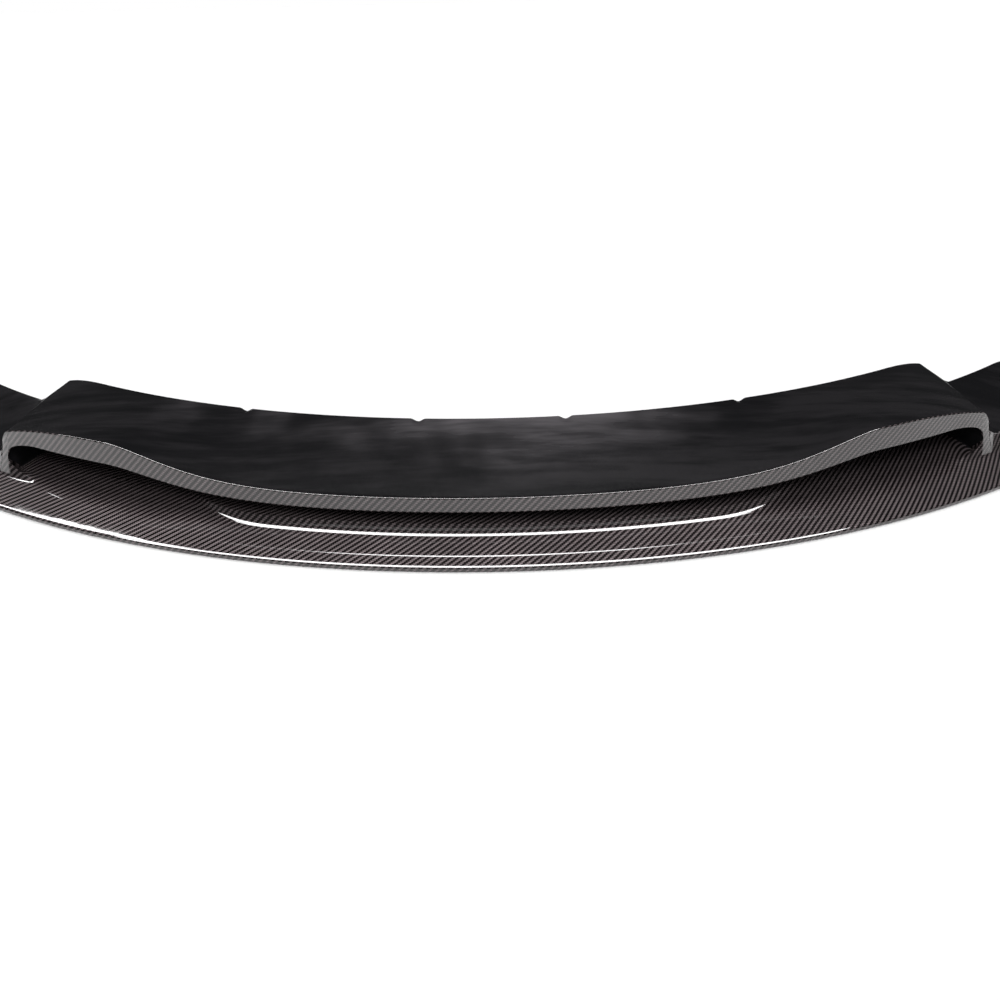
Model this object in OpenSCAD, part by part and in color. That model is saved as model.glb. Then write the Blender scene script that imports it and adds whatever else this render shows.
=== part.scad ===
// Front splitter lip: one moulded carbon laminate with a bowed blade, a raised
// middle plateau, an air duct behind it and a black seat for the bumper on top.
// X runs across the car, Y runs back from the front edge and Z is up.

/* [Plan] */
// Plan radius of the front edge, mm
edge_r = 1380; // [1250:10:1600]
// Angle from the middle to each end, seen from the centre of that radius
end_angle = 40; // [38:0.5:42]
// Angle by which the rear parts splay outward at the sides
splay = 1.2; // [0:0.1:1.5]

/* [Laminate] */
// Thickness of the laminate, mm
wall = 3; // [2:0.5:4]

/* [Blade] */
// Height of the rolled front edge, mm
edge_h = 7.5; // [7:0.5:10]
// Radius along the top of the front edge, mm
edge_round = 5; // [3:0.5:5]
// Width of the return under the front edge, mm
return_w = 24; // [15:1:35]
// Slope of the blade, degrees
blade_slope = 13.5; // [12:0.5:14]
// Distance of the crease behind the front edge, mm
crease_d = 18.5; // [15:0.5:22]
// How far the crease stands proud of the slope, mm
crease_h = 0.5; // [0:0.1:1]

/* [Plateau] */
// Height of the plateau, mm
plateau_z = 29; // [27:0.5:31]
// Distance of the crest behind the front edge, mm
crest_d = 61; // [58:0.5:62]
// Width of the riser in front of the crest, mm
riser_run = 14; // [10:0.5:16]
// How late the riser turns up: 1 is an even curve and 2 a long foot
riser_bow = 2; // [1:0.1:2.5]
// Angle where the crest starts to turn back
crest_turn = 12; // [10:0.5:13]
// Angle where the crest ends
crest_end = 18.5; // [17.5:0.5:19.5]
// How far back the crest turns, mm
crest_back = 75; // [60:1:85]

/* [Duct] */
// Distance of the rear wall of the duct behind the front edge, mm
duct_d = 165; // [150:1:175]
// Radius inside the rear corners of the duct, mm
duct_round = 12; // [8:1:16]

/* [Flange] */
// Distance of the flange behind the front edge, mm
flange_d = 63; // [60:0.5:66]
// Height of the flange's lower edge in the middle, mm
mid_bottom = 43; // [39:0.5:45]
// Height of the flange's upper edge in the middle, mm
mid_top = 60.5; // [58:0.5:64]
// Height of the flange's lower edge over the side arches, mm
arch_bottom = 68; // [60:0.5:71]
// Height of the flange's upper edge over the side arches, mm
arch_top = 97.5; // [92:0.5:99]
// How far the upper edge leans back behind the lower one, mm
flange_lean = 4; // [0:0.5:6]
// How far the upper edge falls toward the pillars, mm
arch_fall = 25; // [15:0.5:28]
// How far the lower edge falls into the corner of the opening, mm
corner_fall = 20; // [10:0.5:22]
// Angle where the dip in the middle ends
dip_end = 22; // [20.5:0.5:23]
// How late the flange climbs out of the dip
dip_lag = 3.4; // [2.5:0.1:4]

/* [Top seat] */
// Distance of the rear edge behind the front edge, mm
rear_d = 207; // [190:1:220]
// Height of the rear edge, mm
rear_z = 100; // [94:0.5:104]
// Radius of the rear corners, mm
rear_round = 20; // [10:1:30]
// Depth of the four notches in the rear edge, mm
notch_h = 4; // [0:0.5:6]

/* [Pillars and wings] */
// Angle where the duct opening ends
opening_end = 29.95; // [29.8:0.05:30.1]
// Angle of the outer side of the pillars
pillar_end = 30.75; // [30.6:0.05:31]
// Distance of the foot of the pillars and wings behind the front edge, mm
foot_d = 50; // [46:1:54]
// Height of the wing's front ledge, mm
wing_z = 38; // [36:0.5:44]
// Distance of the wing's rear edge behind the front edge, mm
wing_d = 150; // [130:1:160]
// Height of the wing's rear edge, mm
wing_rear_z = 84; // [70:1:88]
// How far the corner of the front edge turns back at each end, mm
nose_back = 26; // [10:1:40]

/* [Hidden] */

// Angles between the sections, from the middle outward
middle_step = 2.4;
blend_step = 1;
bay_step = 3;
corner_step = 0.3;
pillar_step = 0.15;
side_steps = 6;
wing_step = 1.5;
nose_steps = 3;
// Angles of the notches in the rear edge, half the width of each, and the room beside one
notch_angles = [4.7, 16.4];
notch_half = 0.5;
notch_room = 0.25;
// The crease turns back from the first of these angles to the second, and fades over
// the last two
crease_turn = [13, 18];
crease_back = 16;
crease_fade = [15, 19];
crease_end = [20, 24];
// Width of the crease's rise, and how high its flanks stand beside it
crease_w = 2;
crease_flanks = [0.8, 0.3];
// Where the blade is measured between the crease and the foot of the riser
blade_shares = [0.3, 0.7];
// The riser turns into the form of the sides between these angles
side_turn = [20, 25];
// The riser sinks into the blade from this far before its end to this far after it
riser_fade = [0.5, 1];
// Share of the riser's curve at which the crest cuts it off
crest_cut = 0.9;
// How late the upper edge of the flange falls
fall_lag = 2.5;
// Start of the rounding over each pillar, and its width low down
round_start = 29.9;
side_round = 0.35;
// Angle along which the duct is shut off by the pillar's inner side
shut_w = 0.05;
// Starts of the scoop's rear corner, the opening's corner and the toe of the pillar
scoop_turn = 27.6;
corner_start = 27.3;
toe_start = 27.5;
// The lower edge of the flange meets the pillar's face over this angle
meet_w = 1.8;
// Fillet at the foot of the pillar: its width on the blade and its share of the face
foot_round = 3;
foot_share = 0.06;
// Shares of the face between which the opening is shut: from, to on the pillar and on the wing
seam = [0.4, 0.48, 0.9];
// The wing's ledge flares up toward the pillar over this angle
ledge_flare = 1.2;
ledge_rise = 14;
// The plain round rear corner of the wing, and the one at the end of the front edge
tip_start = 36.5;
tip_d = 105;
nose_start = 1.6;
// Angle along which the rear parts begin to splay
splay_start = 20;
// Round of the flange's upper edge, and the share of it left at the middle of the round
lip_round = 2.5;
lip_share = 0.3;
// Gap from the crest to the first point of the duct's floor
floor_gap = 2;
// Depth of the groove behind the flange's lower edge
drip = 0.5;
// How the back of the laminate keeps clear of corners, in walls
ceiling_front = 3;
flange_back = 1.7;
duct_back_step = [3, 1];
duct_back_drop = 2;
wing_back_gap = 2;
wing_front_gap = 2.5;
wing_under = 1.3;
// Share of the duct's floor where its underside is measured
floor_share = 0.4;
// Shift of the riser's back face along and down, in walls, at the riser and at the sides
riser_back = [0.4, 0.9];
riser_drop = [1, 0.5];
// The duct's back gives way to the wing's back from this far before the opening's end
hollow_lead = 0.1;
// Angle where the roll of the front edge begins above its foot
top_from = 20;
// Chamfer inside the rolled front edge
edge_chamfer = [2.5, 1];
// Points along each curve of the section
foot_steps = 2;
top_steps = 3;
fillet_steps = 3;
face_steps = 3;
floor_steps = 3;
ceiling_steps = 2;
seat_steps = 5;
wing_steps = 7;
corner_turn = 30;
top_turn = 45;

function mix(a, b, t) = a + (b - a) * t;
function span(x, from, to) = min(1, max(0, (x - from) / (to - from)));
function ease(t) = t * t * (3 - 2 * t);
function dish(t) = 1 - sqrt(1 - t * t);
function mixed(p, q, t) = [mix(p[0], q[0], t), mix(p[1], q[1], t)];

// Height of the blade's plain slope, which runs level once it meets the plateau's height
function slope_z(d) =
    min(plateau_z, edge_h + edge_round * (1 / cos(blade_slope) - 1) + (d - edge_round) * tan(blade_slope));

// Share of the side arch: 0 in the middle dip and 1 over the arches
function arch(a) = ease(pow(span(a, 0, dip_end), dip_lag));

// Share of the wing at distance d: 0 on the scoop and 1 outboard of the pillar
function outboard(a, d) =
    let (blunt = ease(span(d, flange_d, duct_d)),
         from = mix(round_start, pillar_end - side_round, blunt))
    dish(span(a, from, pillar_end));

// Distance of the flange's upper edge, which leans back except on the wing
function top_d(a) = flange_d + flange_lean * (1 - dish(span(a, round_start, pillar_end)));

// Upper edge of the flange, the ledge of the wing and the black seat behind them
function flange_top(a) =
    mix(mid_top, arch_top, arch(a)) - arch_fall * pow(span(a, dip_end, pillar_end), fall_lag);
function ledge_top(a) =
    wing_z + ledge_rise * pow(1 - span(a, pillar_end, pillar_end + ledge_flare), 2);
function wing_back(a) = mix(wing_d, tip_d, dish(span(a, tip_start, end_angle)));
function scoop_back(a) =
    rear_d - rear_round * dish(span(a, scoop_turn, pillar_end));
function back_d(a) = mix(scoop_back(a), wing_back(a), span(a, pillar_end, pillar_end + side_round));

function notch(a) =
    notch_h * max([for (n = notch_angles) 1 - span(abs(a - n), 0, notch_half)]);
function scoop_z(a, d) =
    mix(flange_top(a), rear_z, span(d, top_d(a) + lip_round, rear_d));
function wing_top_z(a, d) =
    mix(ledge_top(a), wing_rear_z, span(d, flange_d + lip_round, wing_d));
function seat_z(a, d) = mix(scoop_z(a, d), wing_top_z(a, d), outboard(a, d));

// Front edge: the return below, the round foot and the rolled top
function edge_arc(r, cz, from, to, n) =
    [for (k = [0:n]) let (t = mix(from, to, k / n)) [r * (1 - cos(t)), cz + r * sin(t)]];
function front_edge() = concat(
    [[return_w, 0]],
    edge_arc(edge_h - edge_round, edge_h - edge_round, -90, 0, foot_steps),
    edge_arc(edge_round, edge_h - edge_round, top_from, 90 - blade_slope, top_steps));

// Blade from the front edge to the foot of the riser, with its faint crease
function gone(a, angles) = 1 - ease(span(a, angles[0], angles[1]));
function crease_at(a) =
    crease_d + crease_back * dish(span(a, crease_turn[0], crease_turn[1])) * gone(a, crease_end);
function foot_at(a) = mix(foot_d - foot_round, crest_at(a) - riser_run, gone(a, side_turn));
function on_blade(d, rise) = [d, slope_z(d) + rise];
function blade(a) =
    let (c = crease_at(a), h = crease_h * gone(a, crease_fade), f = foot_at(a))
    [on_blade(c / 2, 0),
     on_blade(c + crease_w / 4 - crease_w, h * crease_flanks[0]),
     on_blade(c + crease_w / 4, h),
     on_blade(mix(c, f, blade_shares[0]), h * crease_flanks[1]),
     on_blade(mix(c, f, blade_shares[1]), 0)];

// Riser up to the plateau in the middle
function crest_at(a) =
    crest_d + crest_back * dish(span(a, crest_turn, crest_end)) * gone(a, side_turn);
function rise(t) = ease(pow(crest_cut * t, riser_bow)) / ease(pow(crest_cut, riser_bow));
function floor_z(a, d) =
    let (top = plateau_z, bottom = slope_z(d))
    bottom + (top - bottom) * rise(span(d, crest_at(a) - riser_run, crest_at(a)))
        * gone(a, [crest_end - riser_fade[0], crest_end + riser_fade[1]]);

// Front face of the pillars and wings, from its foot on the blade up to the lip, and the
// fillet at its foot. Beside each pillar a toe rises out of the blade.
function face(a, share) =
    mixed([foot_d, slope_z(foot_d)], [top_d(a), seat_z(a, top_d(a)) - lip_round], share);
function toe(a) = dish(span(a, toe_start, opening_end));
function fillet(a, t) =
    let (low = [foot_d - foot_round, slope_z(foot_d - foot_round)])
    mixed(mixed(low, face(a, 0), t), mixed(face(a, 0), face(a, foot_share), t), t);
function side(a) = concat(
    [for (k = [0:fillet_steps]) fillet(a, k / fillet_steps)],
    [for (k = [1:face_steps]) face(a, mix(foot_share, seam[0], k / face_steps))]);
function riser(a) =
    let (up = side(a), turned = 1 - gone(a, side_turn), last = len(up) - 1)
    [for (k = [0:last])
        let (d = mix(crest_at(a) - riser_run * (1 - k / last), up[k][0], turned))
        [d, mix(floor_z(a, d), up[k][1], toe(a) * turned)]];

// Duct: floor, rear wall, ceiling and the back of the flange. Toward the pillar it
// closes onto the pillar's front face.
function ceiling_z(a, d) = scoop_z(a, d) - wall;
function lower_edge(a) =
    let (foot = face(a, 0)[1], top = face(a, 1)[1],
         low = mix(mid_bottom, arch_bottom, arch(a)) - corner_fall * dish(span(a, corner_start, opening_end)))
    mixed([flange_d, low], face(a, (low - foot) / (top - foot)),
        ease(span(a, corner_start, corner_start + meet_w)));
function floor_start(a) = max(crest_at(a), flange_d) + floor_gap;
function duct_path(a) =
    let (r = duct_round, first = floor_start(a), last = duct_d - r,
         top = ceiling_z(a, last), low = lower_edge(a))
    concat(
        [for (k = [0:floor_steps]) let (d = mix(first, last, k / floor_steps)) [d, floor_z(a, d)]],
        [for (t = [corner_turn:corner_turn:90]) [last + r * sin(t), plateau_z + r * (1 - cos(t))]],
        [for (t = [0:top_turn:90]) [last + r * cos(t), top - r * (1 - sin(t))]],
        [for (k = [1:ceiling_steps])
            let (d = mix(last, top_d(a) + ceiling_front * wall, k / ceiling_steps)) [d, ceiling_z(a, d)]],
        [[top_d(a) + wall, flange_top(a) - flange_back * wall],
         low + [wall, drip],
         low]);
function duct(a) =
    let (open = duct_path(a), n = len(open),
         end = mix(seam[1], seam[2], span(a, pillar_end, pillar_end + side_round)))
    [for (k = [0:n - 1])
        a < opening_end ? open[k] : face(a, mix(seam[0], end, (k + 1) / n))];

// Upper edge of the flange and the black seat, out to the rear edge
function seat(a) =
    let (lip = top_d(a), front = lip + lip_round, back = back_d(a), z = seat_z(a, front))
    concat(
        [[lip, z - lip_round], [lip + lip_share * lip_round, z - lip_share * lip_round]],
        [for (k = [0:seat_steps]) let (d = mix(front, back, k / seat_steps))
            [d, seat_z(a, d) - (k == seat_steps ? notch(a) : 0)]]);

// Back of the laminate, from the rear edge forward to the return
function under_duct(a) =
    let (r = duct_round + wall, last = duct_d - duct_round, top = ceiling_z(a, duct_d),
         back = duct_d + duct_back_step[0] * wall)
    concat(
        [[back, ceiling_z(a, back)],
         [duct_d + duct_back_step[1] * wall, top - duct_back_drop * wall]],
        [for (t = [90:-corner_turn:0]) [last + r * sin(t), plateau_z - wall + r * (1 - cos(t))]],
        [[mix(floor_start(a), last, floor_share), plateau_z - wall]]);
function under_wing(a) =
    let (back = wing_back(a) - wing_back_gap * wall, front = flange_d + wing_front_gap * wall)
    [for (k = [1:wing_steps]) let (d = mix(back, front, k / wing_steps))
        [d, wing_top_z(a, d) - wing_under * wall]];
function underside(a) =
    let (back = back_d(a), up = riser(a), n = len(up),
         solid = ease(span(a, opening_end - hollow_lead, pillar_end + side_round)),
         duct_back = under_duct(a), wing_face = under_wing(a))
    concat(
        [[back, seat_z(a, back) - wall - notch(a)]],
        [for (k = [0:len(duct_back) - 1]) mixed(duct_back[k], wing_face[k], solid)],
        [for (k = [n - 1:-2:1]) let (low = [up[k][0], floor_z(a, up[k][0])])
            mixed(low + wall * [riser_back[0], -riser_drop[0]],
                up[k] + wall * [riser_back[1], -riser_drop[1]], solid)],
        [on_blade(foot_at(a), -wall),
         on_blade(crease_at(a), -wall),
         on_blade(wall + edge_chamfer[0], -wall),
         [wall, edge_h - wall - edge_chamfer[1]],
         [wall, wall],
         [return_w, wall]]);

// One closed section: distance behind the front edge and height
function upper_chain(a) = concat(front_edge(), blade(a), riser(a), duct(a), seat(a));
function section(a) = concat(upper_chain(a), underside(a));

// Near its end the front edge turns back in a plain round corner
function nosed(a, d) =
    let (nose = nose_back * dish(span(a, end_angle - nose_start, end_angle)))
    mix(nose, back_d(a), d / back_d(a));

function place(angle, p) =
    let (a = abs(angle), d = nosed(a, p[0]),
         lean = splay * ease(span(a, splay_start, opening_end)) * span(d, flange_d, rear_d),
         turn = angle + sign(angle) * lean)
    [(edge_r - d) * sin(turn), edge_r - (edge_r - d) * cos(turn), p[1]];

function steps(from, to, step) =
    let (n = ceil((to - from) / step)) [for (k = [0:n - 1]) mix(from, to, k / n)];
bay_start = dip_end + notch_half;
half_angles = concat(
    steps(middle_step, crest_turn, middle_step),
    steps(crest_turn, bay_start, blend_step),
    steps(bay_start, corner_start, bay_step),
    steps(corner_start, opening_end - shut_w, corner_step),
    [opening_end - shut_w],
    steps(opening_end, pillar_end - side_round, pillar_step),
    steps(pillar_end - side_round, pillar_end + side_round, 2 * side_round / side_steps),
    steps(pillar_end + side_round, end_angle - nose_start, wing_step),
    [for (k = [0:nose_steps]) end_angle - nose_start * (1 - sin(90 * k / nose_steps))]);
notch_stations = [for (n = notch_angles, s = [-1:1]) n + s * notch_half];
function near_notch(a) = min([for (n = notch_angles) abs(a - n)]) < notch_half + notch_room;
plain = concat([for (a = half_angles) if (!near_notch(a)) a], notch_stations);

function sorted(v) = len(v) < 2 ? v :
    let (p = v[floor(len(v) / 2)])
    concat(sorted([for (x = v) if (x < p) x]), [p], sorted([for (x = v) if (x > p) x]));
half = sorted(plain);
angles = concat([for (k = [len(half) - 1:-1:0]) -half[k]], [0], half);

// Skin between the sections, and the ends closed between the two faces of the laminate
rings = len(angles);
ring = len(section(0));
outer = len(upper_chain(0));
points = [for (g = angles, p = section(abs(g))) place(g, p)];
sides = [for (i = [0:rings - 2], j = [0:ring - 1])
    let (k = (j + 1) % ring, a = i * ring + j, b = i * ring + k, c = b + ring, d = a + ring)
    each [[a, b, c], [a, c, d]]];

function run(path, k = 0, s = 0) =
    k == len(path) ? [] :
    let (next = s + (k == 0 ? 0 : norm(path[k] - path[k - 1]))) concat([next], run(path, k + 1, next));
function closing(lo, hi, i, j) =
    let (more_i = i < len(lo) - 1, more_j = j < len(hi) - 1)
    !more_i && !more_j ? [] :
    more_i && (!more_j || lo[i + 1] / lo[len(lo) - 1] <= hi[j + 1] / hi[len(hi) - 1])
        ? concat([[i, i + 1, ring - 1 - j]], closing(lo, hi, i + 1, j))
        : concat([[i, ring - 2 - j, ring - 1 - j]], closing(lo, hi, i, j + 1));
tip = section(end_angle);
cap = closing(run([for (k = [0:outer - 1]) tip[k]]), run([for (k = [ring - 1:-1:outer]) tip[k]]), 0, 0);
first_cap = [for (f = cap) [f[2], f[1], f[0]]];
last_cap = [for (f = cap) f + [1, 1, 1] * (rings - 1) * ring];

depth = max([for (p = points) p[1]]);

module splitter_lip() {
    color("#26272a")
        translate([0, -depth / 2, 0])
            polyhedron(points, concat(sides, first_cap, last_cap), convexity = 10);
}

splitter_lip();
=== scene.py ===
"""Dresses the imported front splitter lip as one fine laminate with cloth, lacquer and a satin seat, in a studio."""

from math import ceil, cos, degrees, hypot, pi, radians, sin, sqrt, tan

import bpy
from bpy.props import FloatProperty, FloatVectorProperty, PointerProperty
from bpy.types import Operator, Panel, PropertyGroup
from mathutils import Matrix, Vector


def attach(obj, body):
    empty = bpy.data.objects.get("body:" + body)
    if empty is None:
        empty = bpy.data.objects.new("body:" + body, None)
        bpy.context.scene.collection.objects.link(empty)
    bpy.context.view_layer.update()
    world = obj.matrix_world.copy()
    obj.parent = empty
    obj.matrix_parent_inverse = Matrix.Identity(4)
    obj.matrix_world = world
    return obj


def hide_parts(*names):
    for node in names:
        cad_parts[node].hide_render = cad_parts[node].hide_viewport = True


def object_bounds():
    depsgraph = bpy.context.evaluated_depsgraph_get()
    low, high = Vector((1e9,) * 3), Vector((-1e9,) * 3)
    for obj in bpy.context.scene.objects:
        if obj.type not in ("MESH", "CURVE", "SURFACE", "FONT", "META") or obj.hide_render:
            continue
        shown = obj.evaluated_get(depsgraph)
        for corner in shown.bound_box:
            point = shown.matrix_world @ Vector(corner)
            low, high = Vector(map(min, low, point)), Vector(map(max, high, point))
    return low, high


bl_info = {
    "name": "Front splitter lip",
    "version": (1, 0, 0),
    "blender": (4, 5, 0),
    "location": "View3D > Sidebar > Splitter lip",
    "description": "Builds a carbon laminate front splitter lip and its photo studio",
    "category": "Object",
}

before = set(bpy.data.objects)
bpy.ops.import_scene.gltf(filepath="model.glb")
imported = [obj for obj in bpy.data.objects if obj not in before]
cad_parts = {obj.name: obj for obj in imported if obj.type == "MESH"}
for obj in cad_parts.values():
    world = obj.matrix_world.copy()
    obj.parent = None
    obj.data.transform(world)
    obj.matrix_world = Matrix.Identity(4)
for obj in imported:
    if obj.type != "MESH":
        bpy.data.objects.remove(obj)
cad_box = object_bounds()

BODY = "root"
NODE = "splitter_lip"
CLOTH_MAP = "Cloth"
# Material of each face: the lacquered twill, the black seat, whose black is also painted into the ducts as shade,
# and the bare back
FACED, SEAT, RAW = range(3)

# Angles in degrees, from the middle outward, between which each form takes over from its neighbour
CREASE_TURN = (13, 18)
CREASE_FADE = (12.5, 15.5)
CREASE_END = (20, 24)
CREST_TURN = (12, 18.5)
RISER_FADE = (18, 19.5)
SIDE_TURN = (20, 25)
SPLAY_START = 20
DIP_END = 22
CORNER_START = 27.3
CORNER_MEET = 29.1
TOE_START = 27.5
SCOOP_TURN = 27.6
ROUND_START = 29.9
OPENING_END = 29.95
PILLAR_END = 30.75
SIDE_ROUND = 0.35
LEDGE_END = 31.95
TIP_START = 36.5
NOSE_SPAN = 1.6
NOTCHES = (4.7, 16.4)
NOTCH_HALF = 0.5

# Sections lie from the first angle to the second at steps of about the third, and along the wing after them
STATIONS = ((0, 12, 0.4), (12, 27.3, 0.3), (27.3, 29.5, 0.11), (29.5, 31.1, 0.05))
WING_STEP = 0.4
# Sections that each nose adds, and the step and number of those on each side of a notch's middle
NOSE_SECTIONS = 10
NOTCH_STEP = 0.1
NOTCH_SECTIONS = 6

# How late the flange rises out of its dip, and how late its upper edge falls toward the pillar
ARCH_LAG = 3.4
FALL_LAG = 2.5
# Roll of the front edge: a tight arc and then a wide one, in shares of its radius, and the slope where they meet
ROLL_TIGHT = 0.44
ROLL_WIDE = 2.8
ROLL_MEET = radians(25)
# The crease: a long ramp up to a share of its height and then a fine line, in metres, and the share of the
# blade behind it over which it dies out
CREASE_RAMP = 0.006
CREASE_LOW = 0.8
CREASE_LINE = 0.00009
CREASE_TAIL = 0.7
# Share of the riser's curve at which the crest cuts it off
CREST_CUT = 0.9
# How late the riser turns up, and the start and share of the straight foot that mirrors the lamp
RISER_BOW = 2.8
FOOT_START = 0.2
FOOT_SHARE = 0.12
# Share of the pillar's face that the fillet at its foot takes
FILLET_SHARE = 0.06
# Shares of the pillar's face between which the opening is shut: from, to on the pillar and on the wing
SEAM = (0.4, 0.48, 0.9)
# Gap from the crest to the first point of the duct's floor, and length of a notch's slope, in metres
FLOOR_GAP = 0.002
NOTCH_RUN = 0.012
# Point of the duct from which the cloth is counted as it runs up a pillar
CLOTH_TURN = 30
# Painted shade: the seat's black laid inside each duct. Its first black point on the duct's floor, and the last ones
# that stay lacquered. The first moves forward between these angles before the opening's end
SHADE_FLOOR = (10, 2)
SHADE_LEAD = (0.6, 0.1)
SHADE_LIP = 16
# Edges that turn more than this are drawn sharp
SHARP_TURN = radians(38)

# How the back of the laminate keeps clear of corners, in walls
CEILING_FRONT = 3
FLANGE_BACK = 1.7
DUCT_BACK_STEP = (3, 1)
DUCT_BACK_DROP = 2
WING_BACK_GAP = 2
WING_FRONT_GAP = 2.5
WING_UNDER = 1.3
# Shift of the riser's back along and down, in walls, first where the duct is open and then at the sides
RISER_BACK = (0.4, 0.9)
RISER_DROP = (1, 0.5)
# Share of the duct's floor where its back is measured, and where the hollow starts to close before the pillar
FLOOR_SHARE = 0.4
HOLLOW_LEAD = 0.1
# Chamfer inside the rolled front edge, in metres
EDGE_CHAMFER = (0.0025, 0.001)

# Tows in one repeat of the twill, and tows that each float passes over
TWILL_REPEAT = 4.0
TWILL_FLOAT = 2.0

# Place and size of each lamp in metres. Places count from the middle of the front edge
SOFTBOX = ((-0.12, 0.525, 1.7), (3.25, 0.63))
LEFT_STRIP = ((-1.915, 1.3, 1.71), (1.35, 0.28))
FRONT_LAMP = ((0, -2.1, 1.9), (3.6, 1.4))
SKY_PLACE = (0, 0, 3)
# Turn of the strip, spread of the two even lamps and lean of the second, in degrees
STRIP_TURN = -28.2
CEILING_SPREAD = 100
FRONT_SPREAD = 50
FRONT_LEAN = 46
# The camera: its place from the middle of the front edge, and its yaw, pitch and roll in degrees
CAMERA_PLACE = (0.0205, -0.8579, 0.5930)
CAMERA_TURN = (0.67, 30.04, 1.4)
SENSOR_WIDTH = 36
FLOOR_REACH = 30.0
WHITE = (1, 1, 1, 1)


class Steps:
    """How many steps each stretch of a section takes."""

    under, heel, tight, wide = 3, 6, 12, 10
    blade, ramp, line, tail = 8, 4, 4, 14
    fillet, face = 12, 14
    floor, corner, ceiling, turn, flange_back, lower = 14, 8, 12, 4, 5, 8
    flange, lip, seat = 8, 8, 30
    back = 3


def length(name, description, default):
    """A length property in metres."""
    return FloatProperty(name=name, description=description, default=default, unit="LENGTH", precision=4)


def angle(name, description, default):
    """An angle property, with its default in degrees."""
    return FloatProperty(name=name, description=description, default=radians(default), subtype="ANGLE")


def colour(name, description, default):
    """A linear colour property."""
    return FloatVectorProperty(name=name, description=description, default=default, subtype="COLOR", min=0, max=1)


def level(name, description, default):
    """The strength of a light, which is never negative."""
    return FloatProperty(name=name, description=description, default=default, min=0)


class LipSizes(PropertyGroup):
    """Sizes of the laminate. Only the crease and the flange's lean, top and round are finer than in the solid."""

    edge_radius: length("Edge radius", "Plan radius of the front edge", 1.38)
    end_angle: angle("End angle", "Angle from the middle to each end", 40)
    splay: angle("Splay", "Angle by which the rear parts splay outward", 1.2)
    wall: length("Wall", "Thickness of the laminate", 0.003)
    edge_height: length("Edge height", "Height of the rolled front edge", 0.0075)
    edge_round: length("Edge round", "Radius along the top of the front edge", 0.005)
    return_width: length("Return", "Width of the return under the front edge", 0.024)
    blade_slope: angle("Blade slope", "Slope of the blade", 13.5)
    crease: length("Crease", "Distance of the crease behind the front edge", 0.0185)
    crease_height: length("Crease height", "How far the crease stands proud", 0.00008)
    crease_back: length("Crease turn", "How far back the crease turns at the sides", 0.016)
    plateau: length("Plateau", "Height of the plateau", 0.029)
    crest: length("Crest", "Distance of the plateau's crest behind the front edge", 0.061)
    riser: length("Riser", "Width of the riser in front of the crest", 0.014)
    crest_back: length("Crest turn", "How far back the crest turns at the sides", 0.075)
    foot: length("Pillar foot", "Distance of the pillar's foot behind the front edge", 0.05)
    foot_round: length("Foot fillet", "Width of the fillet at the pillar's foot", 0.003)
    duct: length("Duct", "Distance of the duct's rear wall behind the front edge", 0.165)
    duct_round: length("Duct corners", "Radius in the rear corners of the duct", 0.012)
    flange: length("Flange", "Distance of the flange behind the front edge", 0.063)
    flange_lean: length("Flange lean", "How far the flange's upper edge leans back", 0.0025)
    mid_bottom: length("Flange bottom", "Height of the flange's lower edge in the middle", 0.043)
    mid_top: length("Flange top", "Height of the flange's upper edge in the middle", 0.0612)
    arch_bottom: length("Arch bottom", "Height of the flange's lower edge over the arches", 0.068)
    arch_top: length("Arch top", "Height of the flange's upper edge over the arches", 0.0983)
    arch_fall: length("Arch fall", "How far the upper edge falls toward the pillars", 0.025)
    corner_fall: length("Corner fall", "How far the lower edge falls into the opening's corner", 0.02)
    lip_round: length("Lip round", "Round of the flange's upper edge", 0.0016)
    rear: length("Rear edge", "Distance of the rear edge behind the front edge", 0.207)
    rear_height: length("Rear height", "Height of the rear edge", 0.1)
    rear_round: length("Rear corners", "Radius of the rear corners", 0.02)
    notch: length("Notch", "Depth of the four notches in the rear edge", 0.004)
    ledge: length("Ledge", "Height of the wing's front ledge", 0.038)
    ledge_rise: length("Ledge rise", "How far the ledge rises toward the pillar", 0.014)
    wing: length("Wing", "Distance of the wing's rear edge behind the front edge", 0.15)
    wing_rear: length("Wing rear", "Height of the wing's rear edge", 0.084)
    tip: length("Tip", "Distance of the wing's rear corner behind the front edge", 0.105)
    nose_back: length("Nose", "How far the corner of the front edge turns back", 0.026)


class ClothFinish(PropertyGroup):
    """Cloth, lacquer and paint."""

    tow: length("Tow", "Width of one tow of the twill", 0.0022)
    warp: colour("Warp", "Colour of the tows that run back from the front edge", (0.0072, 0.0058, 0.0058))
    weft: colour("Weft", "Colour of the tows that run along the front edge", (0.127, 0.105, 0.109))
    paint: colour("Paint", "Satin black of the seat", (0.007, 0.007, 0.0078))
    # Grey of the smudges on the paint. It also paints the sheen near the middle of the rear edge, in place of a soft
    # reflection.
    haze_and_sheen: colour("Haze", "Dust and scuffs rubbed into the paint", (0.087, 0.08, 0.087))


class StudioLight(PropertyGroup):
    """Floor, lamps and camera."""

    floor: colour("Floor", "Colour of the floor", (1, 1, 1))
    fill: level("Ceiling", "Light of the wide ceiling lamp in watts for each square metre", 2.14)
    front_fill: level("Front fill", "Light from behind the camera in watts for each square metre", 1.45)
    softbox: level("Softbox", "Power of the softboxes in watts for each square metre", 45)
    front: level("Front lamp", "Power of the dim lamp in front in watts for each square metre", 1.5)
    room: level("Room", "Brightness of the room round the object", 0.06)
    lens: FloatProperty(
        name="Lens", description="Focal length of the camera in millimetres", default=32.4, min=10, max=200
    )


def mix(a, b, t):
    return a + (b - a) * t


def between(p, q, t):
    """The point at share t of the way from p to q."""
    return tuple(mix(a, b, t) for a, b in zip(p, q))


def bend(low, turn, high, t):
    """A point on the curve that leaves low toward turn and reaches high from it."""
    return between(between(low, turn, t), between(turn, high, t), t)


def span(x, start, end):
    """How far x lies from start to end, kept within 0 and 1."""
    return min(1.0, max(0.0, (x - start) / (end - start)))


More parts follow.
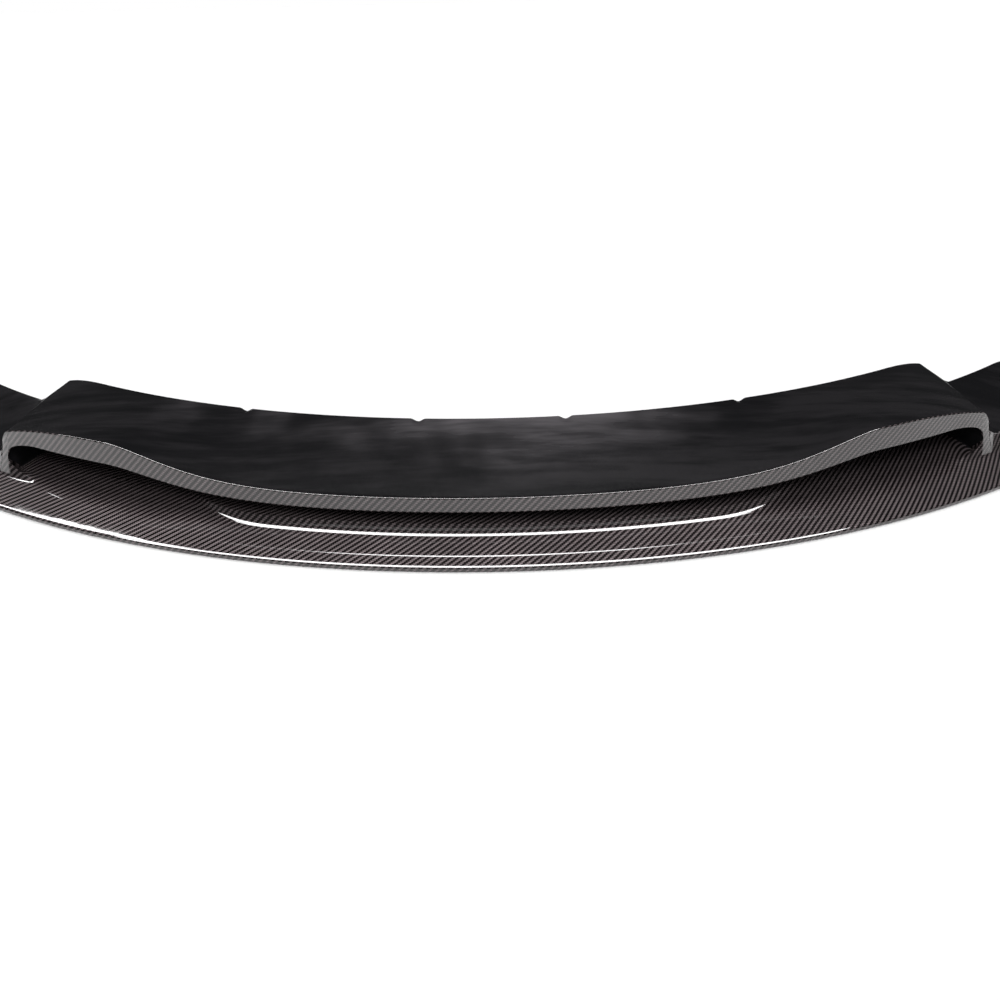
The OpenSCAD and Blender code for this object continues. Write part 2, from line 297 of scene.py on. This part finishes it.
def ease(t):
    """A smooth rise from 0 to 1, level at both ends."""
    return t * t * (3 - 2 * t)


def dish(t):
    """A quarter round from 0 to 1, level at its start and upright at its end."""
    return 1 - sqrt(max(0.0, 1 - t * t))


def gone(a, angles):
    """1 before the first of the angles, 0 after the second."""
    return 1 - ease(span(a, *angles))


def shares(count, start=0.0, end=1.0):
    """count + 1 even shares from start to end."""
    return [mix(start, end, k / count) for k in range(count + 1)]


def way(path):
    """Length along the path at each of its points, from the first one."""
    run = [0.0]
    for p, q in zip(path, path[1:]):
        run.append(run[-1] + hypot(q[0] - p[0], q[1] - p[1]))
    return run


def cloth_way(path):
    """Length along the path at each of its points, from the point furthest forward."""
    run = way(path)
    front = run[min(range(len(path)), key=lambda k: path[k][0])]
    return [r - front for r in run]


class Form:
    """The lip's surface. In each method, a is the angle from the middle in degrees, and d is the distance behind
    the front edge. Methods named _z give a height there, those named _d or _at give a distance, and front_edge,
    blade, side, riser, duct, seat and underside give a stretch of the section as points (d, z)."""

    def __init__(self, sizes):
        self.s = sizes
        self.end = degrees(sizes.end_angle)
        self.pitch = tan(sizes.blade_slope)
        self.foot_run = cloth_way(self.front_edge() + self.blade(PILLAR_END))[-1] + sizes.foot_round

    def slope_z(self, d):
        s = self.s
        rise = s.edge_round * (1 / cos(s.blade_slope) - 1) + (d - s.edge_round) * self.pitch
        return min(s.plateau, s.edge_height + rise)

    def arch(self, a):
        """0 in the middle, where the flange dips, to 1 over the arches."""
        return ease(span(a, 0, DIP_END) ** ARCH_LAG)

    def outboard(self, a, d):
        """0 on the hood to 1 on the wing, over a round that starts later low down than it does at the rear."""
        blunt = ease(span(d, self.s.flange, self.s.duct))
        return dish(span(a, mix(ROUND_START, PILLAR_END - SIDE_ROUND, blunt), PILLAR_END))

    def top_d(self, a):
        return self.s.flange + self.s.flange_lean * (1 - dish(span(a, ROUND_START, PILLAR_END)))

    def flange_top(self, a):
        s = self.s
        return mix(s.mid_top, s.arch_top, self.arch(a)) - s.arch_fall * span(a, DIP_END, PILLAR_END) ** FALL_LAG

    def face(self, a, share):
        """The front face of the pillars and wings, from its foot on the blade up to the lip."""
        lip = self.top_d(a)
        foot, top = self.slope_z(self.s.foot), self.seat_z(a, lip) - self.s.lip_round
        return mix(self.s.foot, lip, share), mix(foot, top, share)

    def lower_edge(self, a):
        """The flange's lower edge, which meets the pillar's face at the corner of the opening."""
        s = self.s
        fall = s.corner_fall * dish(span(a, CORNER_START, OPENING_END))
        low = mix(s.mid_bottom, s.arch_bottom, self.arch(a)) - fall
        foot, top = self.face(a, 0)[1], self.face(a, 1)[1]
        on_face = self.face(a, (low - foot) / (top - foot))[0]
        return mix(s.flange, on_face, ease(span(a, CORNER_START, CORNER_MEET))), low

    def ledge_top(self, a):
        return self.s.ledge + self.s.ledge_rise * (1 - span(a, PILLAR_END, LEDGE_END)) ** 2

    def wing_back(self, a):
        return mix(self.s.wing, self.s.tip, dish(span(a, TIP_START, self.end)))

    def back_d(self, a):
        scoop = self.s.rear - self.s.rear_round * dish(span(a, SCOOP_TURN, PILLAR_END))
        return mix(scoop, self.wing_back(a), span(a, PILLAR_END, PILLAR_END + SIDE_ROUND))

    def scoop_z(self, a, d):
        front = self.top_d(a) + self.s.lip_round
        return mix(self.flange_top(a), self.s.rear_height, span(d, front, self.s.rear))

    def wing_z(self, a, d):
        front = self.s.flange + self.s.lip_round
        return mix(self.ledge_top(a), self.s.wing_rear, span(d, front, self.s.wing))

    def seat_z(self, a, d):
        return mix(self.scoop_z(a, d), self.wing_z(a, d), self.outboard(a, d))

    def notch(self, a):
        return self.s.notch * ease(max(1 - span(abs(a - n), 0, NOTCH_HALF) for n in NOTCHES))

    def crest_at(self, a):
        return self.s.crest + self.s.crest_back * dish(span(a, *CREST_TURN)) * gone(a, SIDE_TURN)

    def crease_at(self, a):
        return self.s.crease + self.s.crease_back * dish(span(a, *CREASE_TURN)) * gone(a, CREASE_END)

    def foot_at(self, a):
        return mix(self.s.foot - self.s.foot_round, self.crest_at(a) - self.s.riser, gone(a, SIDE_TURN))

    def floor_start(self, a):
        return max(self.crest_at(a), self.s.flange) + FLOOR_GAP

    def floor_z(self, a, d):
        """The blade, the riser and the plateau behind it."""
        low = self.slope_z(d)
        crest = self.crest_at(a)
        t = span(d, crest - self.s.riser, crest)
        curve = ease((t * CREST_CUT) ** RISER_BOW) / ease(CREST_CUT**RISER_BOW)
        rise = mix(curve, span(t, FOOT_START, 1), FOOT_SHARE)
        return low + (self.s.plateau - low) * rise * gone(a, RISER_FADE)

    def front_edge(self):
        """From the inner edge of the return, over the roll, to the start of the blade."""
        s = self.s
        heel = s.edge_height - s.edge_round
        path = [(mix(s.return_width, heel, t), 0.0) for t in shares(Steps.under)]
        path += [(heel * (1 - cos(t)), heel * (1 + sin(t))) for t in shares(Steps.heel, -pi / 2, 0)[1:]]
        tight, wide, meet = s.edge_round * ROLL_TIGHT, s.edge_round * ROLL_WIDE, ROLL_MEET
        far, rise = wide * (sin(meet) - sin(s.blade_slope)), wide * (cos(s.blade_slope) - cos(meet))
        end = tight * (1 - sin(meet)) + far
        centre = self.slope_z(end) - rise - tight * cos(meet)
        for t in shares(Steps.tight, 0, pi / 2 - meet):
            path.append((tight * (1 - cos(t)), centre + tight * sin(t)))
        d, z = path[-1]
        for t in shares(Steps.wide, meet, s.blade_slope)[1:]:
            path.append((d + wide * (sin(meet) - sin(t)), z + wide * (cos(t) - cos(meet))))
        return path

    def crease_share(self, d, crease, foot):
        """Share of the crease's height at d."""
        ramp, line = crease - CREASE_RAMP, crease - CREASE_LINE
        up = mix(CREASE_LOW * ease(span(d, ramp, line)), 1.0, ease(span(d, line, crease)))
        return up * (1 - ease(span(d, crease, mix(crease, foot, CREASE_TAIL))))

    def blade(self, a):
        """From the roll over the crease to the foot of the riser or the pillar."""
        start = self.front_edge()[-1][0]
        crease, foot = self.crease_at(a), self.foot_at(a)
        ramp, line = crease - CREASE_RAMP, crease - CREASE_LINE
        high = self.s.crease_height * gone(a, CREASE_FADE)
        path = shares(Steps.blade, start, ramp)[1:]
        path += shares(Steps.ramp, ramp, line)[1:]
        path += shares(Steps.line, line, crease)[1:]
        path += shares(Steps.tail, crease, foot)[1:-1]
        return [(d, self.slope_z(d) + high * self.crease_share(d, crease, foot)) for d in path]

    def side(self, a, rounds, count):
        """The fillet at the foot of the pillars and wings, and the lower part of their face."""
        start = self.s.foot - self.s.foot_round
        low, foot, high = (start, self.slope_z(start)), self.face(a, 0), self.face(a, FILLET_SHARE)
        path = [bend(low, foot, high, t) for t in shares(rounds)]
        return path + [self.face(a, share) for share in shares(count, FILLET_SHARE, SEAM[0])[1:]]

    def riser(self, a, rounds=Steps.fillet, count=Steps.face):
        """The riser in the middle, which becomes the toe and the foot of the pillar at the sides."""
        turned = 1 - gone(a, SIDE_TURN)
        toe = dish(span(a, TOE_START, OPENING_END)) * turned
        path = []
        for t, (d, z) in zip(shares(rounds + count), self.side(a, rounds, count)):
            d = mix(self.crest_at(a) - self.s.riser * (1 - t), d, turned)
            path.append((d, mix(self.floor_z(a, d), z, toe)))
        return path

    def duct(self, a):
        """The duct from its floor round to the lower edge of the flange, or the face that shuts it."""
        s = self.s
        r, w, last, lip = s.duct_round, s.wall, s.duct - s.duct_round, self.top_d(a)
        top = self.scoop_z(a, last) - w
        front = lip + CEILING_FRONT * w
        ceiling, behind = (front, self.scoop_z(a, front) - w), (lip + w, self.flange_top(a) - FLANGE_BACK * w)
        (near, low), half, rise = self.lower_edge(a), w / 2, w / 3
        path = [(d, self.floor_z(a, d)) for d in shares(Steps.floor, self.floor_start(a), last)]
        for t in shares(Steps.corner, 0, pi / 2)[1:]:
            path.append((last + r * sin(t), s.plateau + r * (1 - cos(t))))
        path += [(last + r * cos(t), top - r * (1 - sin(t))) for t in shares(Steps.corner, 0, pi / 2)]
        path += [(d, self.scoop_z(a, d) - w) for d in shares(Steps.ceiling, last, front)[1:]]
        for t in shares(Steps.turn)[1:]:
            path.append((mix(ceiling[0], behind[0], ease(t)), mix(ceiling[1], behind[1], t * t)))
        path += [between(behind, (near + w, low + rise), t) for t in shares(Steps.flange_back)[1:]]
        path += [(near + half * (1 + cos(t)), low + rise * (1 - sin(t))) for t in shares(Steps.lower, 0, pi)[1:]]
        if a < OPENING_END:
            return path
        end = mix(SEAM[1], SEAM[2], span(a, PILLAR_END, PILLAR_END + SIDE_ROUND))
        return [self.face(a, share) for share in shares(len(path), SEAM[0], end)[1:]]

    def seat(self, a):
        """From the flange over its round to the rear edge."""
        r, lip, back = self.s.lip_round, self.top_d(a), self.back_d(a)
        front = lip + r
        z = self.seat_z(a, front)
        path = [(lip + r * (1 - cos(t)), z - r * (1 - sin(t))) for t in shares(Steps.lip, 0, pi / 2)]
        for t in shares(Steps.seat)[1:]:
            d = mix(front, back, t)
            path.append((d, self.seat_z(a, d) - self.notch(a) * ease(span(d, back - NOTCH_RUN, back))))
        return path

    def underside(self, a):
        """The back of the laminate, from the rear edge forward to the inner edge of the return."""
        s = self.s
        w, back, last = s.wall, self.back_d(a), s.duct - s.duct_round
        r, top = s.duct_round + w, self.scoop_z(a, s.duct) - w
        behind = s.duct + DUCT_BACK_STEP[0] * w
        hollow = [(behind, self.scoop_z(a, behind) - w), (s.duct + DUCT_BACK_STEP[1] * w, top - DUCT_BACK_DROP * w)]
        for t in shares(Steps.back, pi / 2, 0):
            hollow.append((last + r * sin(t), s.plateau - w + r * (1 - cos(t))))
        hollow.append((mix(self.floor_start(a), last, FLOOR_SHARE), s.plateau - w))
        rear, front = self.wing_back(a) - WING_BACK_GAP * w, s.flange + WING_FRONT_GAP * w
        wing = [(d, self.wing_z(a, d) - WING_UNDER * w) for d in shares(len(hollow), rear, front)[1:]]
        solid = ease(span(a, OPENING_END - HOLLOW_LEAD, PILLAR_END + SIDE_ROUND))
        path = [(back, self.seat_z(a, back) - w - self.notch(a))]
        path += [between(h, f, solid) for h, f in zip(hollow, wing)]
        for d, z in self.riser(a, Steps.back, Steps.back)[::-2][: Steps.back]:
            under = (d + RISER_BACK[0] * w, self.floor_z(a, d) - RISER_DROP[0] * w)
            path.append(between(under, (d + RISER_BACK[1] * w, z - RISER_DROP[1] * w), solid))
        path += [(d, self.slope_z(d) - w) for d in (self.foot_at(a), self.crease_at(a), w + EDGE_CHAMFER[0])]
        return path + [(w, s.edge_height - w - EDGE_CHAMFER[1]), (w, w), (s.return_width, w)]

    def section(self, a):
        """One closed section as (d, z, v, material), where v runs along the cloth from the front edge, and up the
        flange as it does up a pillar."""
        lead, duct, seat = self.front_edge() + self.blade(a) + self.riser(a), self.duct(a), self.seat(a)
        flange = [between(duct[-1], seat[0], t) for t in shares(Steps.flange)[1:-1]]
        path = lead + duct + flange + seat
        run = cloth_way(path)
        black = set(range(len(path) - len(seat) + Steps.lip, len(path)))
        if a < OPENING_END:
            lift = self.foot_run + (seat[0][1] - self.slope_z(self.s.foot)) - run[-len(seat)]
            run = [v + lift * (k >= len(lead) + CLOTH_TURN) for k, v in enumerate(run)]
            # Painted shade: the back of the duct's floor, its rear wall and its ceiling take the seat's black,
            # reaching further forward near the pillar.
            shade = mix(*SHADE_FLOOR, span(a, OPENING_END - SHADE_LEAD[0], OPENING_END - SHADE_LEAD[1]))
            black.update(range(len(lead) + round(shade), len(lead) + len(duct) - SHADE_LIP))
        points = [(d, z, v, SEAT if k in black else FACED) for k, ((d, z), v) in enumerate(zip(path, run))]
        return points + [(d, z, d, RAW) for d, z in self.underside(a)]

    def place(self, signed, d, z):
        """The point at a signed angle, with the turned corner at each end and the rear parts' splay."""
        s = self.s
        a = abs(signed)
        back = self.back_d(a)
        d = mix(s.nose_back * dish(span(a, self.end - NOSE_SPAN, self.end)), back, d / back)
        lean = degrees(s.splay) * ease(span(a, SPLAY_START, OPENING_END)) * span(d, s.flange, s.rear)
        turn = radians(signed + (lean if signed > 0 else -lean))
        reach = s.edge_radius - d
        return reach * sin(turn), s.edge_radius - reach * cos(turn), z


def stations(form):
    """Angles of the sections from end to end, close together where the form turns quickly."""
    half = []
    nose = form.end - NOSE_SPAN
    for start, end, step in (*STATIONS, (STATIONS[-1][1], nose, WING_STEP)):
        half += shares(ceil((end - start) / step), start, end)[:-1]
    half += [n + k * NOTCH_STEP for n in NOTCHES for k in range(-NOTCH_SECTIONS, NOTCH_SECTIONS + 1)]
    half += [form.end - NOSE_SPAN * (1 - sin(t)) for t in shares(NOSE_SECTIONS, 0, pi / 2)]
    half = sorted(set(round(a, 4) for a in half if a > 0))
    return [-a for a in reversed(half)] + [0.0] + half


def cap(ring, outer, base, flip):
    """Closes one end between the outer face's points and the back's, matched by their share of the way."""
    low, high = list(range(outer)), list(range(len(ring) - 1, outer - 1, -1))
    lows, highs = (way([ring[p] for p in ids]) for ids in (low, high))
    faces, i, j = [], 0, 0
    while i < len(low) - 1 or j < len(high) - 1:
        low_left, high_done = i < len(low) - 1, j == len(high) - 1
        if low_left and (high_done or lows[i + 1] / lows[-1] <= highs[j + 1] / highs[-1]):
            faces.append((low[i], low[i + 1], high[j]))
            i += 1
        else:
            faces.append((low[i], high[j + 1], high[j]))
            j += 1
    return [tuple(base + p for p in (reversed(f) if flip else f)) for f in faces]


def laminate_mesh(form):
    """The whole laminate as one closed mesh, with a cloth map laid along it and a material for each face."""
    angles = stations(form)
    rings = [form.section(abs(a)) for a in angles]
    count = len(rings[0])
    outer = sum(point[3] != RAW for point in rings[0])
    places = [form.place(a, d, z) for a, ring in zip(angles, rings) for d, z, _, _ in ring]
    faces, materials = [], []
    for i in range(len(rings) - 1):
        for j in range(count):
            k = (j + 1) % count
            faces.append((i * count + j, (i + 1) * count + j, (i + 1) * count + k, i * count + k))
            materials.append(max(ring[p][3] for ring in rings[i : i + 2] for p in (j, k)) if k else RAW)
    last = (len(rings) - 1) * count
    ends = cap(rings[0], outer, 0, False) + cap(rings[-1], outer, last, True)
    mesh = bpy.data.meshes.new("Laminate")
    mesh.from_pydata([from_edge(place) for place in places], [], faces + ends)
    mesh.polygons.foreach_set("material_index", materials + [RAW] * len(ends))
    cloth = mesh.uv_layers.new(name=CLOTH_MAP)
    along = [v for ring in rings for _, _, v, _ in ring]
    for loop in mesh.loops:
        n = loop.vertex_index
        cloth.uv[loop.index].vector = (places[n][0], along[n])
    mesh.polygons.foreach_set("use_smooth", [True] * len(mesh.polygons))
    mesh.set_sharp_from_angle(angle=SHARP_TURN)
    mesh.validate()
    return mesh


def from_edge(place):
    """A place counted from the middle of the front edge, as one in the frame."""
    x, y, z = place
    return x, y + cad_box[0].y, z


class Graph:
    """Lays shader nodes in one material and links them."""

    def __init__(self, name):
        self.material = bpy.data.materials.new(name)
        self.material.use_nodes = True
        self.tree = self.material.node_tree
        self.shader = self.tree.nodes["Principled BSDF"]

    def add(self, kind, inputs=(), output=0, **settings):
        node = self.tree.nodes.new(kind)
        for key, value in settings.items():
            setattr(node, key, value)
        for key, value in dict(inputs).items():
            self.feed(node.inputs[key], value)
        return node.outputs[output]

    def feed(self, socket, value):
        if isinstance(value, bpy.types.NodeSocket):
            self.tree.links.new(value, socket)
        else:
            socket.default_value = value

    def math(self, operation, *values):
        return self.add("ShaderNodeMath", enumerate(values), operation=operation)

    def blend(self, factor, low, high):
        """A colour between low and high."""
        sockets = {0: factor, 6: low, 7: high}
        return self.add("ShaderNodeMix", sockets, output=2, data_type="RGBA")

    def ramp(self, value, low, high, first=0.0, last=1.0):
        """value from low to high, turned smoothly into first to last."""
        sockets = {"Value": value, "From Min": low, "From Max": high, "To Min": first, "To Max": last}
        return self.add("ShaderNodeMapRange", sockets, interpolation_type="SMOOTHSTEP")

    def noise(self, where, scale, detail=3.0, roughness=0.5, stretch=(1.0, 1.0, 1.0)):
        spread = self.add("ShaderNodeMapping", {"Vector": where, "Scale": stretch})
        sockets = {"Vector": spread, "Scale": scale, "Detail": detail, "Roughness": roughness}
        return self.add("ShaderNodeTexNoise", sockets)

    def bump(self, height, strength, distance):
        return self.add("ShaderNodeBump", {"Strength": strength, "Distance": distance, "Height": height})

    def place(self):
        return self.add("ShaderNodeTexCoord", output="Object")

    def dress(self, **values):
        for key, value in values.items():
            self.feed(self.shader.inputs[key.replace("_", " ")], value)
        return self.material


def rgba(tint, share=1.0):
    return [c * share for c in tint] + [1.0]


def twill(graph, tow):
    """The two-by-two twill: whether the warp lies on top, and the height of the tow that does."""

    def repeat(value):
        return graph.math("FLOORED_MODULO", value, TWILL_REPEAT)

    cloth = graph.add("ShaderNodeUVMap", uv_map=CLOTH_MAP)
    across, along = (graph.add("ShaderNodeSeparateXYZ", {0: cloth}, output=k) for k in (0, 1))
    u, v = graph.math("DIVIDE", across, tow), graph.math("DIVIDE", along, tow)
    column, row = graph.math("FLOOR", u), graph.math("FLOOR", v)
    warp = graph.math("LESS_THAN", repeat(graph.math("SUBTRACT", column, row)), TWILL_FLOAT)
    rise = repeat(graph.math("ADD", graph.math("SUBTRACT", v, column), 1.0))
    run = repeat(graph.math("SUBTRACT", graph.math("SUBTRACT", u, row), TWILL_FLOAT))
    heights = []
    for side, float_length in ((u, rise), (v, run)):
        crown = graph.ramp(graph.math("PINGPONG", side, 0.5), low=0.0, high=0.5)
        arc = graph.math("SINE", graph.math("MULTIPLY", float_length, pi / TWILL_FLOAT))
        heights.append(graph.math("MULTIPLY", crown, graph.math("MAXIMUM", arc, 0.0)))
    height = graph.add("ShaderNodeMix", {0: warp, 2: heights[1], 3: heights[0]}, data_type="FLOAT")
    return warp, height


def laminate_gloss(finish):
    """Twill cloth under clear lacquer."""
    g = Graph("Lacquered twill")
    warp, height = twill(g, finish.tow)
    tint = g.blend(warp, rgba(finish.weft), rgba(finish.warp))
    shade = g.ramp(height, low=0.0, high=0.8, first=0.55, last=1.15)
    drift = g.ramp(g.noise(g.place(), scale=9.0), low=0.35, high=0.65, first=0.88, last=1.1)
    tint = g.add("ShaderNodeVectorMath", {0: tint, "Scale": g.math("MULTIPLY", shade, drift)}, operation="SCALE")
    wave = g.noise(g.place(), scale=26.0, detail=1.0)
    smear = g.noise(g.place(), scale=14.0, detail=5.0)
    return g.dress(
        Base_Color=tint,
        Metallic=0.28,
        Specular_IOR_Level=0.0,
        Roughness=0.38,
        Normal=g.bump(height, strength=0.25, distance=0.0003),
        Anisotropic=0.6,
        Anisotropic_Rotation=g.math("MULTIPLY", warp, 0.25),
        Tangent=g.add("ShaderNodeTangent", direction_type="UV_MAP", uv_map=CLOTH_MAP),
        Coat_Weight=1.0,
        Coat_IOR=1.75,
        Coat_Roughness=g.ramp(smear, low=0.4, high=0.75, first=0.02, last=0.06),
        Coat_Normal=g.bump(wave, strength=0.025, distance=0.002),
    )


def laminate_seat(finish):
    """Satin black with smudges and streaks, and a painted sheen, greyer and rougher, in the middle toward the rear
    edge.
    """
    g = Graph("Satin black seat")
    where = g.place()
    x, y = (g.add("ShaderNodeSeparateXYZ", {0: where}, output=k) for k in (0, 1))
    broad = g.noise(where, scale=7.0, detail=4.0, roughness=0.6, stretch=(0.6, 1.6, 1.0))
    streak = g.noise(where, scale=26.0, detail=3.0, roughness=0.6, stretch=(0.3, 2.0, 1.0))
    grain = g.noise(where, scale=900.0, detail=2.0)
    drift = g.noise(where, scale=4.5, detail=3.0, roughness=0.6)
    stray = g.ramp(drift, low=0.25, high=0.75, first=-0.16, last=0.16)
    # The painted sheen stands in for a soft reflection: a greyer patch toward the rear edge about the middle, with a
    # wandering border.
    rear = g.ramp(g.math("ADD", y, g.math("MULTIPLY", stray, 0.3)), low=-0.11, high=0.03)
    sideways = g.math("ABSOLUTE", g.math("ADD", g.math("ADD", x, 0.02), stray))
    middle = g.ramp(sideways, low=0.38, high=0.02)
    clouds = g.ramp(g.math("MULTIPLY", broad, streak), low=0.15, high=0.38)
    streaks = g.ramp(streak, low=0.3, high=0.7, first=0.55, last=1.15)
    # Painted sheen: the patch above, broken up by the streaks.
    painted_sheen = g.math("MULTIPLY", g.math("MULTIPLY", rear, middle), streaks)
    # Smudges all over, plus the painted sheen; both turn the paint greyer and rougher.
    smudge_and_sheen = g.math("ADD", g.math("MULTIPLY", clouds, 0.12), painted_sheen)
    return g.dress(
        Base_Color=g.blend(smudge_and_sheen, rgba(finish.paint), rgba(finish.haze_and_sheen)),
        Roughness=g.ramp(smudge_and_sheen, low=0.0, high=1.0, first=0.2, last=0.5),
        Normal=g.bump(grain, strength=0.2, distance=0.0003),
        Specular_IOR_Level=0.05,
    )


def laminate_raw(finish):
    """The cloth's bare back, dull with resin."""
    g = Graph("Bare back")
    warp, height = twill(g, finish.tow)
    resin = g.noise(g.place(), scale=40.0, detail=4.0)
    return g.dress(
        Base_Color=g.blend(warp, rgba(finish.weft, share=0.3), rgba(finish.warp, share=0.48)),
        Roughness=g.ramp(resin, low=0.3, high=0.7, first=0.42, last=0.62),
        Normal=g.bump(g.math("ADD", height, resin), strength=0.5, distance=0.0004),
    )


class SPLITTER_OT_laminate(Operator):
    """Build the moulded laminate with its cloth, seat and back"""

    bl_idname = "splitter.laminate"
    bl_label = "Laminate"

    def execute(self, context):
        mesh = laminate_mesh(Form(context.scene.lip_sizes))
        finish = context.scene.lip_finish
        for material in (laminate_gloss(finish), laminate_seat(finish), laminate_raw(finish)):
            mesh.materials.append(material)
        lip = bpy.data.objects.new("Splitter_lip_laminate", mesh)
        context.scene.collection.objects.link(lip)
        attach(lip, BODY)
        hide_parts(NODE)
        return {"FINISHED"}


def hang(lamp, place):
    holder = bpy.data.objects.new(lamp.name, lamp)
    holder.location = place
    holder.visible_camera = False
    bpy.context.scene.collection.objects.link(holder)
    return holder


def sky_light(name, strength, spread, lean=0.0):
    """A very wide lamp overhead, or leaning to the front, that lights evenly and isn't mirrored."""
    lamp = bpy.data.lights.new(name, "SUN")
    lamp.energy = strength
    lamp.angle = radians(spread)
    holder = hang(lamp, SKY_PLACE)
    holder.rotation_euler.x = radians(lean)
    holder.visible_glossy = False
    return holder


def panel_light(name, place, size, glow, turn=0.0):
    """A rectangular lamp that faces down, shows only as a reflection and gives glow watts for each square metre."""
    lamp = bpy.data.lights.new(name, "AREA")
    lamp.shape = "RECTANGLE"
    lamp.size, lamp.size_y = size
    lamp.energy = glow * size[0] * size[1]
    holder = hang(lamp, from_edge(place))
    holder.rotation_euler.z = radians(turn)
    holder.visible_diffuse = False
    return holder


def studio_floor(tint):
    mesh = bpy.data.meshes.new("Floor")
    corners = [(x * FLOOR_REACH, y * FLOOR_REACH, 0) for x, y in ((-1, -1), (1, -1), (1, 1), (-1, 1))]
    mesh.from_pydata(corners, [], [(0, 1, 2, 3)])
    mesh.materials.append(Graph("Matte floor").dress(Base_Color=rgba(tint), Roughness=0.9, Specular_IOR_Level=0.0))
    return bpy.data.objects.new("Floor", mesh)


def studio_room(world, strength):
    """A dim room round the object, with a white backdrop that only the camera sees."""
    world.use_nodes = True
    tree = world.node_tree
    tree.nodes.clear()
    rays, either = tree.nodes.new("ShaderNodeLightPath"), tree.nodes.new("ShaderNodeMixShader")
    room, backdrop = (tree.nodes.new("ShaderNodeBackground") for _ in range(2))
    room.inputs["Color"].default_value = backdrop.inputs["Color"].default_value = WHITE
    room.inputs["Strength"].default_value = strength
    output = tree.nodes.new("ShaderNodeOutputWorld")
    tree.links.new(rays.outputs["Is Camera Ray"], either.inputs[0])
    tree.links.new(room.outputs[0], either.inputs[1])
    tree.links.new(backdrop.outputs[0], either.inputs[2])
    tree.links.new(either.outputs[0], output.inputs["Surface"])


def photo_camera(focal_length):
    """The camera where the photo was taken, aimed by its yaw to the left, pitch down and roll."""
    lens = bpy.data.cameras.new("Camera")
    lens.lens = focal_length
    lens.sensor_width = SENSOR_WIDTH
    lens.dof.use_dof = False
    yaw, pitch, roll = (radians(v) for v in CAMERA_TURN)
    forward = Vector((-sin(yaw) * cos(pitch), cos(yaw) * cos(pitch), -sin(pitch)))
    level_right = Vector((cos(yaw), sin(yaw), 0))
    right = level_right * cos(roll) - level_right.cross(forward) * sin(roll)
    turn = Matrix((right, right.cross(forward), -forward)).transposed().to_4x4()
    camera = bpy.data.objects.new("Camera", lens)
    camera.matrix_world = Matrix.Translation(from_edge(CAMERA_PLACE)) @ turn
    return camera


class SPLITTER_OT_studio(Operator):
    """Lay the floor and set the lamps and the camera"""

    bl_idname = "splitter.studio"
    bl_label = "Studio"

    def execute(self, context):
        scene = context.scene
        studio = scene.lip_studio
        ground = studio_floor(studio.floor)
        scene.collection.objects.link(ground)
        lamps = [
            sky_light("Ceiling", studio.fill, CEILING_SPREAD),
            sky_light("Front fill", studio.front_fill, FRONT_SPREAD, FRONT_LEAN),
            panel_light("Softbox", *SOFTBOX, studio.softbox),
            panel_light("Left strip", *LEFT_STRIP, studio.softbox, STRIP_TURN),
            panel_light("Front lamp", *FRONT_LAMP, studio.front),
        ]
        scene.world = scene.world or bpy.data.worlds.new("World")
        studio_room(scene.world, studio.room)
        camera = photo_camera(studio.lens)
        scene.collection.objects.link(camera)
        scene.camera = camera
        scene.view_settings.view_transform = "Standard"
        return {"FINISHED"}


class SPLITTER_PT_panel(Panel):
    """Sizes, finish and studio of the splitter lip"""

    bl_idname = "SPLITTER_PT_panel"
    bl_label = "Splitter lip"
    bl_space_type = "VIEW_3D"
    bl_region_type = "UI"
    bl_category = "Splitter lip"

    def draw(self, context):
        for operator, group in OPERATORS:
            self.layout.operator(operator.bl_idname)
            for name in group:
                holder = getattr(context.scene, name)
                for item in holder.bl_rna.properties:
                    if item.identifier not in ("name", "rna_type"):
                        self.layout.prop(holder, item.identifier)


GROUPS = {"lip_sizes": LipSizes, "lip_finish": ClothFinish, "lip_studio": StudioLight}
OPERATORS = [(SPLITTER_OT_laminate, ("lip_sizes", "lip_finish")), (SPLITTER_OT_studio, ("lip_studio",))]
CLASSES = [*GROUPS.values(), *(operator for operator, _ in OPERATORS), SPLITTER_PT_panel]


def register():
    for item in CLASSES:
        bpy.utils.register_class(item)
    for name, group in GROUPS.items():
        setattr(bpy.types.Scene, name, PointerProperty(type=group))


def unregister():
    for name in GROUPS:
        delattr(bpy.types.Scene, name)
    for item in reversed(CLASSES):
        bpy.utils.unregister_class(item)


def main():
    register()
    bpy.ops.splitter.laminate()
    bpy.ops.splitter.studio()


if __name__ == "__main__":
    main()
